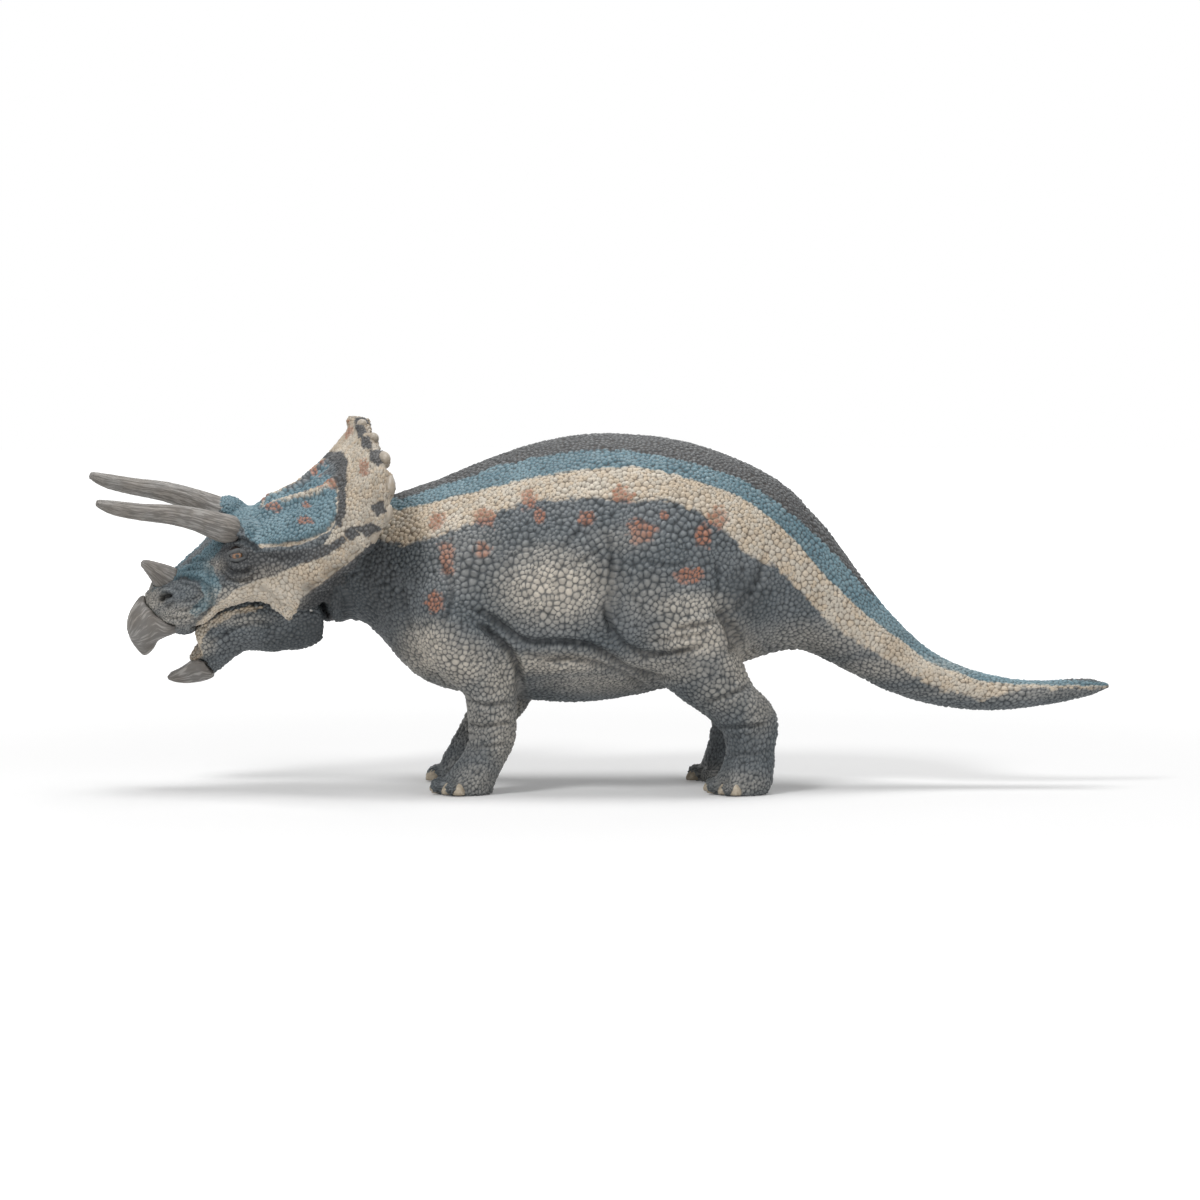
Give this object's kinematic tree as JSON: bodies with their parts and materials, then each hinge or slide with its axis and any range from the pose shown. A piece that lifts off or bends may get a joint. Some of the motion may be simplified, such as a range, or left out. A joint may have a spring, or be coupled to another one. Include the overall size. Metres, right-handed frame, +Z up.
{
  "type": "toy dinosaur figure",
  "caption": "Solid-looking horned dinosaur toy standing on its feet, with a bony neck frill and a hinged lower jaw that opens and closes.",
  "frame": {"origin": "middle of the figure's bounding box at the height of the soles", "axes": "+X from the head to the tail, +Y to the animal's right side, +Z up"},
  "size_m": [0.2542, 0.062, 0.0925],
  "materials": {
    "painted_vinyl": "hand-painted matt vinyl with moulded scales",
    "horn_grey_vinyl": "painted grey with dark streaks",
    "mouth_vinyl": "matt, brownish pink",
    "eye_gloss": "gloss varnish, dark amber",
    "pin_steel": "plain"
  },
  "bodies": {
    "figure": {"torso_shell": "painted_vinyl", "head": "painted_vinyl", "front_leg_left": "painted_vinyl", "front_leg_right": "painted_vinyl", "rear_leg_left": "painted_vinyl", "rear_leg_right": "painted_vinyl", "tail": "painted_vinyl", "upper_beak": "horn_grey_vinyl", "brow_horn_left": "horn_grey_vinyl", "brow_horn_right": "horn_grey_vinyl", "nose_horn": "horn_grey_vinyl", "jaw_pin": "pin_steel", "eye_left": "eye_gloss", "eye_right": "eye_gloss"},
    "jaw": {"lower_jaw": "painted_vinyl", "lower_beak": "horn_grey_vinyl", "tongue": "mouth_vinyl"}
  },
  "joints": [
    {"name": "jaw_hinge", "type": "hinge", "parent": "figure", "child": "jaw", "pos_m": [-0.07405, 0.00401, 0.04664], "axis": [-0.1797, 0.947, 0.2662], "range_deg": [-6, 11]}
  ]
}
